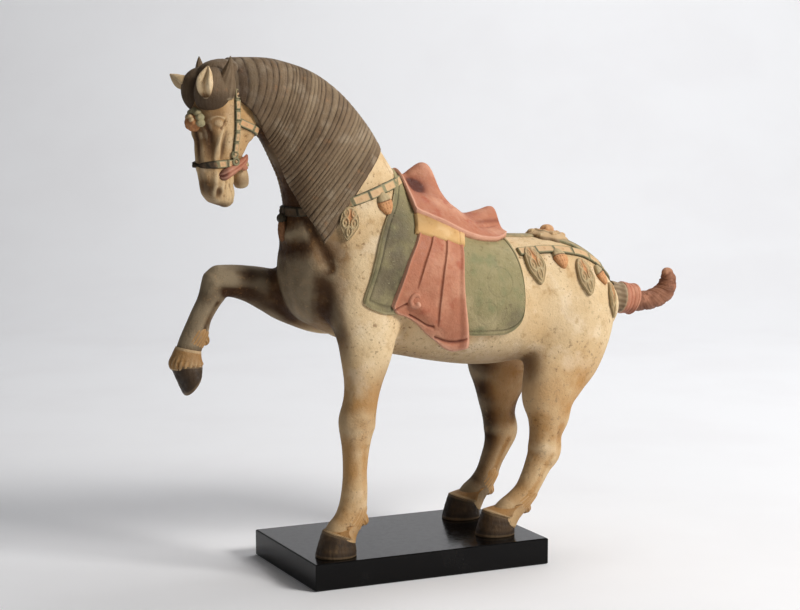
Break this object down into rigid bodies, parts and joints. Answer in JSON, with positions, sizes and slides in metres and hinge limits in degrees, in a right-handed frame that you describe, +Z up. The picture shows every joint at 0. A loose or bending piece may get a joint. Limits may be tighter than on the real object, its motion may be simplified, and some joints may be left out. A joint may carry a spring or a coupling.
{
  "type": "painted pottery horse figure",
  "caption": "Standing saddled horse figure in painted pottery, one foreleg raised, combed mane and up-curled tail, on a low black plinth.",
  "frame": {"origin": "centre of the plinth's underside", "axes": "+X from the horse's head towards its tail, along the longest extent; +Y to the horse's right side, the shortest extent; +Z up"},
  "size_m": [0.6299, 0.18, 0.5712],
  "materials": {
    "coat": "cream slip over buff clay, matt, with brown patina",
    "mane": "grey-brown pigment, matt, combed",
    "hoof": "dark brown pigment, dull sheen",
    "red": "worn brick red pigment, matt",
    "ochre": "ochre pigment, matt",
    "green": "worn green pigment, matt, with dark smudges",
    "lacquer": "polished black lacquer"
  },
  "bodies": {
    "root": {"horse": "coat", "plinth": "lacquer"}
  },
  "joints": []
}
